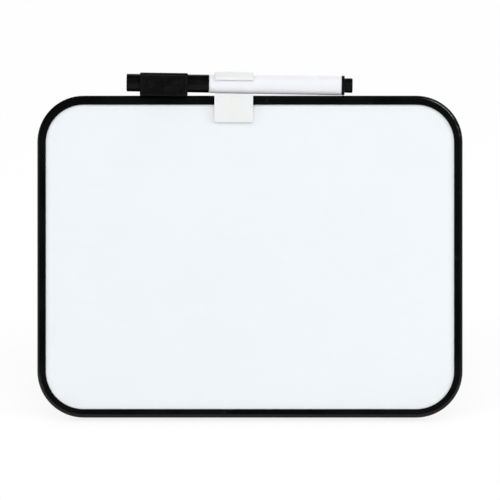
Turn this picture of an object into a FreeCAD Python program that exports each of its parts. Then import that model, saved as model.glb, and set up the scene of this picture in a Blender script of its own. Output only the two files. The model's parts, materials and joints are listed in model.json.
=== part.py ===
import FreeCAD, Part
import math
import os
import re

import Sketcher

# A small magnetic whiteboard that leans back on a fold-out leg and carries a
# dry-wipe marker in a clip on its top edge. Lengths are millimetres, angles degrees.
#
# Frames. The board's frame has its origin at the centre of the rim's front face, with
# +X to the right, +Y into the board and +Z up the board. The leg and its hinge are
# drawn about the pin, the clip and the marker about the marker's axis at the middle of
# the clip. The whole then leans back and stands on the desk, with the origin under the
# middle of its box.

SIZES = {
    # Board: rim, steel sheet, core and back, from front to back
    "board_wide": 280.0,
    "board_tall": 212.0,
    "board_corner": 30.6,
    "rim_face": 5.7,
    "rim_face_top": 6.1,
    "rim_wall": 2.2,
    "rim_deep": 9.0,
    "lip_thick": 1.0,
    "front_round": 2.2,
    "lip_round": 0.5,
    "back_round": 0.8,
    "sheet_thick": 0.5,
    "core_thick": 4.3,
    "panel_thick": 2.0,
    "stack_gap": 0.2,
    "panel_round": 0.6,
    "nub_long": 9.0,
    "nub_reach": 1.0,
    "nub_thick": 0.9,
    "nub_gap": 0.05,
    "nub_spread_x": 84.0,
    "nub_spread_z": 52.0,
    "lean": 18.0,
    # Rubber feet behind the rim's lower edge
    "foot_wide": 18.0,
    "foot_tall": 12.0,
    "foot_thick": 4.0,
    "foot_toe": 1.0,
    "foot_slope": 3.0,
    "foot_inset": 45.0,
    "foot_round": 0.8,
    # Hinge bracket, pin and screws
    "hinge_up": 150.0,
    "base_wide": 62.0,
    "base_tall": 28.0,
    "base_thick": 1.6,
    "base_corner": 4.0,
    "stop_reach": 3.4,
    "lug_thick": 3.2,
    "lug_round": 4.8,
    "lug_root": 7.2,
    "lug_gap": 0.3,
    "pin_round": 1.5,
    "pin_fit": 0.05,
    "pin_grip": 0.03,
    "pin_head_round": 2.7,
    "pin_head_thick": 1.3,
    "pin_tail": 1.8,
    "groove_deep": 0.35,
    "ring_round": 2.9,
    "ring_thick": 0.6,
    "ring_gap": 0.04,
    "ring_mouth": 1.8,
    "screw_apart_x": 50.0,
    "screw_apart_z": 17.0,
    "screw_round": 1.2,
    "screw_long": 4.6,
    "screw_point": 1.2,
    "screw_fit": 0.25,
    "screw_grip": 0.02,
    "head_round": 2.5,
    "head_thick": 1.3,
    "head_dome": 0.5,
    "recess_long": 2.7,
    "recess_wide": 0.6,
    "recess_deep": 0.8,
    # Leg and its shoe
    "leg_spread": 13.0,
    "barrel_long": 32.0,
    "barrel_round": 3.1,
    "heel_up": 8.0,
    "leg_neck": 8.0,
    "leg_wide": 58.0,
    "leg_thick": 4.0,
    "leg_skin": 1.5,
    "leg_edge": 2.4,
    "leg_round": 0.8,
    "rib_thick": 1.6,
    "shoe_tall": 13.0,
    "shoe_wall": 1.2,
    "shoe_sole": 3.0,
    "shoe_fit": 0.05,
    "shoe_round": 0.8,
    # Clip: a C round the marker on a saddle that straddles the rim
    "clip_wide": 25.4,
    "clip_across": -10.5,
    "clip_lean": 0.77,
    "axis_rise": 7.72,
    "bore_round": 6.5,
    "c_wall": 1.5,
    "mouth_top": 2.2,
    "saddle_gap": 0.3,
    "plate_down": 18.75,
    "plate_thick": 1.6,
    "plate_gap": 0.3,
    "plate_round": 0.6,
    "back_leg_down": 12.0,
    "back_leg_thick": 1.8,
    "c_round": 0.4,
    # Marker: barrel, plug and what the cap hides
    "cap_from_clip": 16.3,
    "tube_long": 87.25,
    "tube_front_round": 6.2,
    "tube_back_round": 6.42,
    "tube_wall": 0.9,
    "tube_edge": 0.45,
    "flange_round": 6.5,
    "flange_thick": 1.9,
    "flange_bevel": 0.25,
    "knob_round": 4.75,
    "knob_flare": 0.15,
    "knob_long": 5.25,
    "knob_rim": 1.25,
    "knob_edge": 0.8,
    "flute_round": 0.4,
    "flute_deep": 0.2,
    "spigot_long": 7.0,
    "push_gap": 0.05,
    "holder_plug": 12.0,
    "neck_long": 15.0,
    "cone_long": 10.0,
    "cone_front_round": 3.2,
    "neck_edge": 0.4,
    "nib_round": 2.2,
    "nib_out": 8.0,
    "nib_tip_round": 0.8,
    "nib_tip_long": 2.4,
    "fibre_round": 4.95,
    "fibre_gap": 1.0,
    # Cap with its eraser
    "cap_long": 54.45,
    "cap_end_round": 5.86,
    "cap_mouth_round": 5.98,
    "cap_wall": 1.1,
    "cap_end_thick": 1.3,
    "cap_edge": 0.7,
    "mouth_edge": 0.25,
    "cap_fit": 0.06,
    "cap_gap": 0.15,
    "seal_from_neck": 2.0,
    "seal_long": 5.0,
    "seal_gap": 0.1,
    "eraser_from_end": 8.9,
    "eraser_long": 31.45,
    "eraser_tall": 15.1,
    "eraser_lift": 0.14,
    "eraser_roll": 10.5,
    "tray_back": 5.5,
    "tray_thick": 2.8,
    "tray_wall": 0.8,
    "tray_floor": 1.2,
    "tray_round": 0.6,
    "tray_edge": 0.3,
    "felt_proud": 3.1,
    "felt_gap": 0.1,
    "felt_edge": 0.5,
    "hoop_wall": 0.7,
    "hoop_gap": 0.04,
    "hoop_long": 9.0,
    "hoop_inset": 3.0,
    # How far a cutter runs past what it cuts
    "overrun": 1.0,
}

# Points closer than this count as the same when edges are picked
NEAR = 1e-4

# Bays between the cross ribs of the leg
LEG_BAYS = 4

# Flutes round the marker's knob
KNOB_FLUTES = 16

# Sizes that follow from the driving ones, each with its expression
WORKED_OUT = {
    # Depths of the board's layers behind the rim's front
    "core_front": "lip_thick + sheet_thick",
    "panel_front": "core_front + core_thick",
    "panel_back": "panel_front + panel_thick",
    "stack_wide": "board_wide - 2 * (rim_wall + stack_gap)",
    "stack_tall": "board_tall - 2 * (rim_wall + stack_gap)",
    "stack_corner": "board_corner - rim_wall - stack_gap",
    # The pin's place behind the board and above the desk
    "pin_deep": "panel_back + base_thick + stop_reach",
    "pin_above": "hinge_up * cos(lean) - (pin_deep - rim_deep - foot_toe) * sin(lean)",
    "leg_open": "lean + leg_spread",
    "leg_long": "pin_above / cos(leg_spread)",
    "plate_end": "leg_long - shoe_sole",
    "leg_straight": "leg_long - shoe_tall",
    "lug_out": "barrel_long / 2 + lug_gap + lug_thick",
    # The rim as the clip's frame has it, with the marker's axis over the rim's middle
    "rim_top": "-axis_rise",
    "saddle_under": "saddle_gap - axis_rise",
    "saddle_top": "-bore_round",
    "c_round_out": "bore_round + c_wall",
    "slot_back": "rim_deep / 2 + plate_gap",
    "plate_foot": "saddle_top - plate_down",
    "rim_edge_down": "-axis_rise - rim_face_top",
    "slot_foot": "lip_thick - rim_deep / 2 - plate_gap",
    "slot_edge": "-rim_deep / 2 - plate_gap",
    "slot_slope": "(slot_foot - slot_edge) / (rim_edge_down - plate_foot)",
    "slot_head": "slot_edge - slot_slope * (saddle_under - rim_edge_down)",
    "plate_head": "slot_edge - slot_slope * (saddle_top - rim_edge_down) - plate_thick",
    # Places along the marker's axis
    "tube_front": "-cap_from_clip",
    "tube_back": "tube_front + tube_long",
    "cap_end": "tube_front - cap_long",
    "neck_round": "cap_mouth_round - cap_wall - cap_fit",
    "neck_front": "tube_front - neck_long",
    "cone_front": "neck_front - cone_long",
    "nib_front": "cone_front - nib_out",
    "holder_back": "tube_front + holder_plug",
    "bore_in_tube": "tube_front_round - tube_wall",
    "flange_back": "tube_back + flange_thick",
    "knob_back": "flange_back + knob_long",
    "cone_slope": "(neck_round - neck_edge - cone_front_round) / cone_long",
    "cap_mouth": "tube_front - cap_gap",
    "cap_bore": "cap_mouth_round - cap_wall",
    "seal_back": "neck_front - seal_from_neck",
    "seal_front": "seal_back - seal_long",
    "hoop_bore": "cap_mouth_round + hoop_gap",
    "eraser_middle": "eraser_start + eraser_long / 2",
    "felt_back": "hoop_bore + tray_floor",
    "eraser_start": "cap_end + eraser_from_end",
    "tray_front": "tray_back + tray_thick",
}


def fill_sheet(doc):
    """The driving sizes, one cell each, as plain numbers with an alias."""
    sheet = doc.addObject("Spreadsheet::Sheet", "sizes")
    for row, (alias, number) in enumerate(SIZES.items(), 1):
        sheet.set(f"A{row}", str(number))
        sheet.setAlias(f"A{row}", alias)
    doc.recompute()
    return sheet


def terms(text):
    """An expression with each named size pointed at where the document keeps it."""
    def owner(word):
        if word[0] in SIZES:
            return f"sizes.{word[0]}"
        if word[0] in WORKED_OUT:
            return f"worked.{word[0]}"
        return word[0]
    return re.sub(r"[a-z]\w*", owner, text)


def work_out_sizes(doc):
    """The sizes that follow from the driving ones, each bound to its expression."""
    worked = doc.addObject("App::VarSet", "worked")
    for name, expression in WORKED_OUT.items():
        worked.addProperty("App::PropertyFloat", name, "Sizes")
        worked.setExpression(name, terms(expression))
    doc.recompute()
    return worked


class Model:
    """The document with its sizes, and the sub-parts that are written out."""

    def __init__(self):
        self.doc = FreeCAD.newDocument("whiteboard_easel")
        self.sheet = fill_sheet(self.doc)
        self.worked = work_out_sizes(self.doc)
        self.parts = []

    def size(self, name):
        """The number that a named size has in the document."""
        if name in SIZES:
            return float(self.sheet.get(name))
        return getattr(self.worked, name)

    def body(self, name, kept=True):
        """A new body, listed as a sub-part unless it only serves others."""
        body = self.doc.addObject("PartDesign::Body", name)
        body.Label = name
        if kept:
            self.parts.append(body)
        return body

    def feature(self, name, shape):
        """A sub-part whose shape comes from shape functions."""
        holder = self.doc.addObject("Part::Feature", name)
        holder.Label = name
        holder.Shape = shape
        self.parts.append(holder)
        return holder


def sketch_on(body, role, offset="0"):
    """A sketch on one of the body's own origin planes, moved along its normal."""
    plane = [item for item in body.Origin.OriginFeatures if item.Role == role][0]
    sketch = body.newObject("Sketcher::SketchObject", f"{body.Name}_sketch")
    sketch.AttachmentSupport = [(plane, "")]
    sketch.MapMode = "FlatFace"
    sketch.setExpression("AttachmentOffset.Base.z", terms(offset))
    return sketch


def bind(sketch, constraint, expression):
    """Add a constraint whose value follows an expression."""
    number = sketch.addConstraint(constraint)
    name = f"bound{number}"
    sketch.renameConstraint(number, name)
    sketch.setExpression(f"Constraints.{name}", terms(expression))


def outline(sketch, points):
    """A closed outline of straight sides through points given as expressions."""
    first = sketch.GeometryCount
    count = len(points)
    turn = 2 * math.pi / count
    rough = [FreeCAD.Vector(math.cos(step * turn), math.sin(step * turn), 0) for step in range(count)]
    for here, there in zip(rough, rough[1:] + rough[:1]):
        sketch.addGeometry(Part.LineSegment(here, there), False)
    for step, (across, up) in enumerate(points):
        this, last = first + step, first + (step - 1) % count
        sketch.addConstraint(Sketcher.Constraint("Coincident", last, 2, this, 1))
        bind(sketch, Sketcher.Constraint("DistanceX", -1, 1, this, 1, 1.0), across)
        bind(sketch, Sketcher.Constraint("DistanceY", -1, 1, this, 1, 1.0), up)


def rectangle(sketch, wide, tall, across="0", up="0"):
    """A rectangle about a centre."""
    left, right = f"{across} - ({wide}) / 2", f"{across} + ({wide}) / 2"
    low, high = f"{up} - ({tall}) / 2", f"{up} + ({tall}) / 2"
    outline(sketch, [(left, low), (right, low), (right, high), (left, high)])


def circle(sketch, radius, across="0", up="0"):
    """A circle about a centre."""
    first = sketch.addGeometry(Part.Circle(FreeCAD.Vector(), FreeCAD.Vector(0, 0, 1), 1), False)
    bind(sketch, Sketcher.Constraint("DistanceX", -1, 1, first, 3, 1.0), across)
    bind(sketch, Sketcher.Constraint("DistanceY", -1, 1, first, 3, 1.0), up)
    bind(sketch, Sketcher.Constraint("Radius", first, 1.0), radius)


def pad(body, sketch, length, side="One side", flip=False):
    """Thicken a sketch by a length, to one side or evenly to both."""
    feature = body.newObject("PartDesign::Pad", f"{body.Name}_pad")
    feature.Profile = sketch
    feature.SideType = side
    feature.Reversed = flip
    feature.setExpression("Length", terms(length))
    body.Document.recompute()
    return feature


def pocket(body, sketch, length, side="One side", flip=False):
    """Cut a sketch away over a length, and make sure that it did cut."""
    before = body.Shape.Volume
    feature = body.newObject("PartDesign::Pocket", f"{body.Name}_pocket")
    feature.Profile = sketch
    feature.SideType = side
    feature.Reversed = flip
    feature.setExpression("Length", terms(length))
    body.Document.recompute()
    if not feature.Shape.Volume < before:
        raise ValueError(f"{feature.Name} cuts nothing")
    return feature


def turned(body, points):
    """Turn an outline of (along, radius) points about the body's X axis."""
    sketch = sketch_on(body, "XY_Plane")
    outline(sketch, points)
    feature = body.newObject("PartDesign::Revolution", f"{body.Name}_turned")
    feature.Profile = sketch
    feature.ReferenceAxis = (sketch, ["H_Axis"])
    feature.Angle = 360
    body.Document.recompute()
    return feature


def round_edges(body, base, keep, size):
    """Fillet the edges of a feature that a test keeps."""
    feature = body.newObject("PartDesign::Fillet", f"{body.Name}_fillet")
    feature.Base = (base, picked(base, keep))
    feature.setExpression("Radius", terms(size))
    body.Document.recompute()
    return feature


def picked(feature, keep):
    """Names of the edges that a test keeps."""
    names = [f"Edge{number}" for number, edge in enumerate(feature.Shape.Edges, 1) if keep(edge)]
    if not names:
        raise ValueError(f"{feature.Name} has no such edge")
    return names


def middle(edge):
    """The point halfway along an edge."""
    return edge.valueAt((edge.FirstParameter + edge.LastParameter) / 2)


def runs_along(edge, axis):
    """Whether a straight edge is parallel to an axis, 0 to 2 for X to Z."""
    ends = [vertex.Point for vertex in edge.Vertexes]
    if len(ends) < 2 or not isinstance(edge.Curve, (Part.Line, Part.LineSegment)):
        return False
    step = ends[1] - ends[0]
    return abs(abs(step[axis]) - step.Length) < NEAR


def lies_at(edge, axis, place):
    """Whether the whole edge lies in the plane across an axis at a place."""
    box = edge.BoundBox
    low = (box.XMin, box.YMin, box.ZMin)[axis]
    high = (box.XMax, box.YMax, box.ZMax)[axis]
    return abs(low - place) < 100 * NEAR and abs(high - place) < 100 * NEAR


def within(edge, wide, tall):
    """Whether an edge's middle lies inside a rectangle about the Y axis."""
    point = middle(edge)
    return abs(point.x) < wide / 2 and abs(point.z) < tall / 2


def beyond_outline(edge, model, inset):
    """How far an edge's middle lies outside the board's round outline drawn in by an inset."""
    size = model.size
    point = middle(edge)
    corner = size("board_corner")
    across = abs(point.x) - (size("board_wide") / 2 - corner)
    up = abs(point.z) - (size("board_tall") / 2 - corner)
    reach = math.hypot(max(across, 0), max(up, 0)) + min(max(across, up), 0)
    return reach - (corner - size(inset))


def plate(model, name, front, thick):
    """One layer of the board: a plate with round corners that fills the rim's rabbet."""
    body = model.body(name)
    sketch = sketch_on(body, "XZ_Plane", f"-({front})")
    rectangle(sketch, "stack_wide", "stack_tall")
    base = pad(body, sketch, thick, flip=True)
    round_edges(body, base, lambda edge: runs_along(edge, 1), "stack_corner")
    return body


def make_frame_rim(model):
    """The rim: a lip in front of the stack, a wall round it and nubs behind it."""
    size = model.size
    body = model.body("frame_rim")
    sketch = sketch_on(body, "XZ_Plane")
    rectangle(sketch, "board_wide", "board_tall")
    pad(body, sketch, "rim_deep", flip=True)

    window = sketch_on(body, "XZ_Plane")
    rectangle(window, "board_wide - 2 * rim_face", "board_tall - rim_face - rim_face_top",
              "0", "(rim_face - rim_face_top) / 2")
    base = pocket(body, window, "rim_deep")
    in_lip = (size("board_wide") - size("rim_face"), size("board_tall") - size("rim_face"))
    round_edges(
        body, base,
        lambda edge: runs_along(edge, 1) and within(edge, *in_lip),
        "board_corner - rim_face")

    rabbet = sketch_on(body, "XZ_Plane", "-rim_deep")
    rectangle(rabbet, "board_wide - 2 * rim_wall", "board_tall - 2 * rim_wall")
    base = pocket(body, rabbet, "rim_deep - lip_thick", flip=True)
    in_wall = (size("board_wide") - size("rim_wall"), size("board_tall") - size("rim_wall"))
    base = round_edges(
        body, base,
        lambda edge: runs_along(edge, 1) and within(edge, *in_wall) and middle(edge).y > size("lip_thick"),
        "board_corner - rim_wall")

    base = round_edges(
        body, base,
        lambda edge: runs_along(edge, 1) and not within(edge, *in_wall),
        "board_corner")
    base = round_edges(
        body, base,
        lambda edge: lies_at(edge, 1, 0) and beyond_outline(edge, model, "rim_face") > NEAR,
        "front_round")
    base = round_edges(
        body, base,
        lambda edge: lies_at(edge, 1, size("rim_deep")) and beyond_outline(edge, model, "rim_wall") > NEAR,
        "back_round")
    round_edges(
        body, base,
        lambda edge: lies_at(edge, 1, 0) and beyond_outline(edge, model, "rim_face") < NEAR,
        "lip_round")

    nubs = sketch_on(body, "XZ_Plane", "-(panel_back + nub_gap)")
    reach = "(nub_reach + rim_wall / 2)"
    across = f"(board_wide / 2 - rim_wall - nub_reach + {reach} / 2)"
    up = f"(board_tall / 2 - rim_wall - nub_reach + {reach} / 2)"
    for side in (-1, 1):
        for step in (-1, 0, 1):
            rectangle(nubs, "nub_long", reach, f"{step} * nub_spread_x", f"{side} * {up}")
        for step in (-1, 1):
            rectangle(nubs, reach, "nub_long", f"{side} * {across}", f"{step} * nub_spread_z")
    pad(body, nubs, "nub_thick", flip=True)
    return body


def make_writing_sheet(model):
    """The coated steel sheet that is written on."""
    return plate(model, "writing_sheet", "lip_thick", "sheet_thick")


def screw_places(sketch, radius):
    """Circles at the four screws, with the pin's height given by the sketch's frame."""
    for side in (-1, 1):
        for level in (-1, 1):
            circle(sketch, radius, f"{side} * screw_apart_x / 2",
                   f"hinge_up - board_tall / 2 + {level} * screw_apart_z / 2")


def make_core_board(model):
    """The fibre board behind the sheet, with blind holes for the screws' points."""
    body = plate(model, "core_board", "core_front", "core_thick")
    holes = sketch_on(body, "XZ_Plane", "-panel_front")
    screw_places(holes, "screw_round + screw_fit")
    pocket(body, holes, "screw_long - panel_thick - base_thick + screw_fit", flip=True)
    return body


def make_rear_panel(model):
    """The moulded back, with its edge eased and pilot holes for the screws."""
    body = plate(model, "rear_panel", "panel_front", "panel_thick")
    back = model.size("panel_back")
    round_edges(body, body.Tip, lambda edge: lies_at(edge, 1, back), "panel_round")
    holes = sketch_on(body, "XZ_Plane", "-panel_back")
    screw_places(holes, "screw_round + screw_grip")
    pocket(body, holes, "panel_thick", flip=True)
    return body


def make_rubber_foot(model, name):
    """A wedge behind the rim's lower edge, cut level with the desk underneath."""
    body = model.body(name)
    side = sketch_on(body, "YZ_Plane")
    outline(side, [
        ("0", "0"),
        ("foot_toe", "0"),
        ("foot_thick", "(foot_thick - foot_toe) * tan(lean)"),
        ("foot_thick", "foot_tall - foot_slope"),
        ("0", "foot_tall"),
    ])
    base = pad(body, side, "foot_wide", side="Symmetric")
    thick = model.size("foot_thick")
    round_edges(body, base, lambda edge: lies_at(edge, 1, thick) and runs_along(edge, 2), "foot_round")
    return body


def make_hinge_bracket(model):
    """A base plate with two lugs that hold the pin; the leg's heel bears on the base."""
    body = model.body("hinge_bracket")
    base = sketch_on(body, "XZ_Plane", "stop_reach + base_thick")
    rectangle(base, "base_wide", "base_tall")
    base = pad(body, base, "base_thick", flip=True)
    round_edges(body, base, lambda edge: runs_along(edge, 1), "base_corner")
    for side, flip in ((1, False), (-1, True)):
        start = f"{side} * (barrel_long / 2 + lug_gap)"
        web = sketch_on(body, "YZ_Plane", start)
        outline(web, [
            ("-stop_reach - base_thick / 2", "-lug_root"),
            ("0", "-lug_round"),
            ("0", "lug_round"),
            ("-stop_reach - base_thick / 2", "lug_root"),
        ])
        pad(body, web, "lug_thick", flip=flip)
        eye = sketch_on(body, "YZ_Plane", start)
        circle(eye, "lug_round")
        pad(body, eye, "lug_thick", flip=flip)
    bore = sketch_on(body, "YZ_Plane")
    circle(bore, "pin_round + pin_grip")
    pocket(body, bore, "2 * lug_out + overrun", side="Symmetric")
    holes = sketch_on(body, "XZ_Plane", "stop_reach")
    for side in (-1, 1):
        for level in (-1, 1):
            circle(holes, "screw_round + screw_fit",
                   f"{side} * screw_apart_x / 2", f"{level} * screw_apart_z / 2")
    pocket(body, holes, "base_thick", flip=True)
    return body


def make_hinge_pin(model):
    """The pin that the leg turns on: a domed head, a shank and a groove for the ring."""
    body = model.body("hinge_pin")
    head = "-lug_out - pin_head_thick"
    groove_end = "lug_out + ring_thick + 2 * ring_gap"
    turned(body, [
        (head, "0"),
        (head, "pin_head_round - head_dome"),
        (f"{head} + head_dome", "pin_head_round"),
        ("-lug_out", "pin_head_round"),
        ("-lug_out", "pin_round"),
        ("lug_out", "pin_round"),
        ("lug_out", "pin_round - groove_deep"),
        (groove_end, "pin_round - groove_deep"),
        (groove_end, "pin_round"),
        ("lug_out + pin_tail", "pin_round"),
        ("lug_out + pin_tail", "0"),
    ])
    return body


def make_pin_ring(model):
    """The open retaining ring in the pin's groove."""
    body = model.body("pin_ring")
    ring = sketch_on(body, "YZ_Plane", "lug_out + ring_gap")
    circle(ring, "ring_round")
    circle(ring, "pin_round - groove_deep + ring_gap")
    pad(body, ring, "ring_thick")
    mouth = sketch_on(body, "YZ_Plane", "lug_out + ring_gap")
    rectangle(mouth, "ring_mouth", "2 * ring_round", "0", "-ring_round")
    pocket(body, mouth, "ring_thick", flip=True)
    return body


def make_screw(model):
    """One pan-head screw along X, its head's underside at the origin."""
    body = model.body("screw", kept=False)
    turned(body, [
        ("-head_thick", "0"),
        ("-head_thick", "head_round - head_dome"),
        ("-head_thick + head_dome", "head_round"),
        ("0", "head_round"),
        ("0", "screw_round"),
        ("screw_long - screw_point", "screw_round"),
        ("screw_long", "recess_wide / 2"),
        ("screw_long", "0"),
    ])
    for wide, tall in (("recess_long", "recess_wide"), ("recess_wide", "recess_long")):
        slot = sketch_on(body, "YZ_Plane", "-head_thick")
        rectangle(slot, wide, tall)
        pocket(body, slot, "recess_deep", flip=True)
    return body


def make_bracket_screws(model):
    """Four copies of the screw as one group, driven towards the board."""
    screw = make_screw(model)
    inward = FreeCAD.Rotation(FreeCAD.Vector(0, 0, 1), -90)
    copies = []
    for side in (-1, 1):
        for level in (-1, 1):
            seat = FreeCAD.Vector(
                side * model.size("screw_apart_x") / 2,
                -model.size("stop_reach"),
                level * model.size("screw_apart_z") / 2)
            copy = screw.Shape.copy()
            copy.Placement = FreeCAD.Placement(seat, inward)
            copies.append(copy)
    return model.feature("bracket_screws", Part.makeCompound(copies))


def make_easel_leg(model):
    """The leg, hanging from the pin as it does when folded flat against the back."""
    body = model.body("easel_leg")
    barrel = sketch_on(body, "YZ_Plane")
    circle(barrel, "barrel_round")
    pad(body, barrel, "barrel_long", side="Symmetric")

    blade = sketch_on(body, "XZ_Plane")
    right = [
        ("barrel_long / 2", "0"),
        ("barrel_long / 2", "-leg_neck"),
        ("leg_wide / 2", "-leg_straight"),
        ("leg_wide / 2", "-plate_end"),
    ]
    left = [(f"-({across})", up) for across, up in reversed(right)]
    outline(blade, right + left)
    pad(body, blade, "leg_thick", side="Symmetric")

    heel = sketch_on(body, "YZ_Plane")
    outline(heel, [
        ("-leg_thick / 2", "0"),
        ("-leg_thick / 2", "(stop_reach - leg_thick / 2 * cos(leg_open)) / sin(leg_open)"),
        ("(heel_up * sin(leg_open) - stop_reach) / cos(leg_open)", "heel_up"),
        ("leg_thick / 2", "heel_up"),
        ("leg_thick / 2", "0"),
    ])
    base = pad(body, heel, "barrel_long", side="Symmetric")

    outer = model.size("leg_thick") / 2
    neck = model.size("leg_neck")
    base = round_edges(
        body, base,
        lambda edge: lies_at(edge, 1, outer) and middle(edge).z < -neck,
        "leg_round")

    bore = sketch_on(body, "YZ_Plane")
    circle(bore, "pin_round + pin_fit")
    pocket(body, bore, "barrel_long + overrun", side="Symmetric")

    bays = sketch_on(body, "XZ_Plane", "leg_thick / 2")
    start = "(leg_neck + leg_edge)"
    pitch = f"((leg_straight - {start}) / {LEG_BAYS})"
    flare = "((leg_wide - barrel_long) / 2 / (leg_straight - leg_neck))"
    for bay in range(LEG_BAYS):
        high = f"({start} + {bay} * {pitch})"
        low = f"({high} + {pitch} - rib_thick)"
        near = f"(barrel_long / 2 - leg_edge + {flare} * ({high} - leg_neck))"
        far = f"(barrel_long / 2 - leg_edge + {flare} * ({low} - leg_neck))"
        outline(bays, [
            (f"-{near}", f"-{high}"),
            (f"-{far}", f"-{low}"),
            (far, f"-{low}"),
            (near, f"-{high}"),
        ])
    pocket(body, bays, "leg_thick - leg_skin")
    return body


def make_leg_shoe(model):
    """The rubber shoe on the leg's end, its sole level with the desk when the leg is open."""
    body = model.body("leg_shoe")
    half = "(leg_thick / 2 + shoe_wall)"
    side = sketch_on(body, "YZ_Plane")
    outline(side, [
        (f"-{half}", "-leg_straight"),
        (f"-{half}", f"-(pin_above - {half} * sin(leg_spread)) / cos(leg_spread)"),
        (half, f"-(pin_above + {half} * sin(leg_spread)) / cos(leg_spread)"),
        (half, "-leg_straight"),
    ])
    base = pad(body, side, "leg_wide + 2 * shoe_wall", side="Symmetric")
    round_edges(body, base, lambda edge: runs_along(edge, 2), "shoe_round")
    cavity = sketch_on(body, "XY_Plane", "-leg_straight")
    rectangle(cavity, "leg_wide + 2 * shoe_fit", "leg_thick + 2 * shoe_fit")
    pocket(body, cavity, "plate_end - leg_straight + shoe_fit")
    return body


def make_marker_clip(model):
    """One moulding: a C that the marker snaps into, on a saddle over the rim."""
    body = model.body("marker_clip")
    ring = sketch_on(body, "YZ_Plane")
    circle(ring, "c_round_out")
    pad(body, ring, "clip_wide", side="Symmetric")
    under = sketch_on(body, "YZ_Plane")
    rectangle(under, "2 * (c_round_out + overrun)", "c_round_out",
              "0", "saddle_under - c_round_out / 2")
    pocket(body, under, "clip_wide + overrun", side="Symmetric")

    saddle = sketch_on(body, "YZ_Plane")
    outline(saddle, [
        ("plate_head", "saddle_top"),
        ("slot_foot - plate_thick", "plate_foot"),
        ("slot_foot", "plate_foot"),
        ("slot_head", "saddle_under"),
        ("slot_back", "saddle_under"),
        ("slot_back", "rim_top - back_leg_down"),
        ("slot_back + back_leg_thick", "rim_top - back_leg_down"),
        ("slot_back + back_leg_thick", "0"),
        ("0", "0"),
        ("0", "saddle_top"),
    ])
    pad(body, saddle, "clip_wide", side="Symmetric")

    bore = sketch_on(body, "YZ_Plane")
    circle(bore, "bore_round")
    pocket(body, bore, "clip_wide + overrun", side="Symmetric")
    mouth = sketch_on(body, "YZ_Plane")
    rectangle(mouth, "c_round_out + overrun", "mouth_top - saddle_top",
              "-(c_round_out + overrun) / 2", "(mouth_top + saddle_top) / 2")
    base = pocket(body, mouth, "clip_wide + overrun", side="Symmetric")

    face = min(base.Shape.Faces, key=lambda face: face.CenterOfMass.y)
    base = round_edges(body, base, lambda edge: any(edge.isSame(side) for side in face.Edges), "plate_round")
    outer = model.size("c_round_out")
    round_edges(
        body, base,
        lambda edge: isinstance(edge.Curve, Part.Circle) and abs(edge.Curve.Radius - outer) < NEAR,
        "c_round")
    return body


def make_marker_barrel(model):
    """The marker's tube, a little thicker towards the plug."""
    body = model.body("marker_barrel")
    turned(body, [
        ("tube_front", "bore_in_tube"),
        ("tube_front", "tube_front_round - tube_edge"),
        ("tube_front + tube_edge", "tube_front_round"),
        ("tube_back - tube_edge", "tube_back_round"),
        ("tube_back", "tube_back_round - tube_edge"),
        ("tube_back", "bore_in_tube"),
    ])
    return body


def make_end_plug(model):
    """The plug at the tube's back: a spigot, a thin flange and a ribbed knob with a smooth end."""
    body = model.body("end_plug")
    spigot = "bore_in_tube - push_gap"
    base = turned(body, [
        ("tube_back - spigot_long", "0"),
        ("tube_back - spigot_long", spigot),
        ("tube_back", spigot),
        ("tube_back", "flange_round"),
        ("flange_back - flange_bevel", "flange_round"),
        ("flange_back", "flange_round - 2 * flange_bevel"),
        ("flange_back", "knob_round"),
        ("knob_back", "knob_round + knob_flare"),
        ("knob_back", "0"),
    ])
    end = model.size("knob_back")
    round_edges(body, base, lambda edge: lies_at(edge, 0, end), "knob_edge")
    flute = sketch_on(body, "YZ_Plane", "knob_back - knob_rim")
    circle(flute, "flute_round", "0", "knob_round + flute_round - flute_deep")
    cut = pocket(body, flute, "knob_long - knob_rim")
    ring = body.newObject("PartDesign::PolarPattern", "knob_flutes")
    ring.Originals = [cut]
    ring.Axis = (flute, ["N_Axis"])
    ring.Angle = 360
    ring.Occurrences = KNOB_FLUTES
    body.Tip = ring
    body.Document.recompute()
    return body


def make_nib_holder(model):
    """The section that plugs the tube's front, tapers to the nib and holds it."""
    body = model.body("nib_holder")
    hole = "nib_round + push_gap"
    turned(body, [
        ("cone_front", hole),
        ("cone_front", "cone_front_round"),
        ("neck_front", "neck_round - neck_edge"),
        ("neck_front + neck_edge", "neck_round"),
        ("tube_front", "neck_round"),
        ("tube_front", "bore_in_tube - push_gap"),
        ("holder_back", "bore_in_tube - push_gap"),
        ("holder_back", hole),
    ])
    return body


def make_marker_nib(model):
    """The bullet nib, whose tail feeds from the reservoir."""
    body = model.body("marker_nib")
    turned(body, [
        ("nib_front", "0"),
        ("nib_front", "nib_tip_round"),
        ("nib_front + nib_tip_long", "nib_round"),
        ("holder_back", "nib_round"),
        ("holder_back", "0"),
    ])
    return body


def make_ink_reservoir(model):
    """The fibre core that holds the ink."""
    body = model.body("ink_reservoir")
    end = "tube_back - spigot_long - fibre_gap"
    turned(body, [
        ("holder_back", "0"),
        ("holder_back", "fibre_round"),
        (end, "fibre_round"),
        (end, "0"),
    ])
    return body


def make_marker_cap(model):
    """The cap, a deep cup with a round edge at its closed end."""
    body = model.body("marker_cap")
    base = turned(body, [
        ("cap_end", "0"),
        ("cap_end", "cap_end_round"),
        ("cap_mouth - mouth_edge", "cap_mouth_round"),
        ("cap_mouth", "cap_mouth_round - mouth_edge"),
        ("cap_mouth", "cap_bore"),
        ("cap_end + cap_end_thick", "cap_bore"),
        ("cap_end + cap_end_thick", "0"),
    ])
    end = model.size("cap_end")
    round_edges(body, base, lambda edge: lies_at(edge, 0, end), "cap_edge")
    return body


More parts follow.
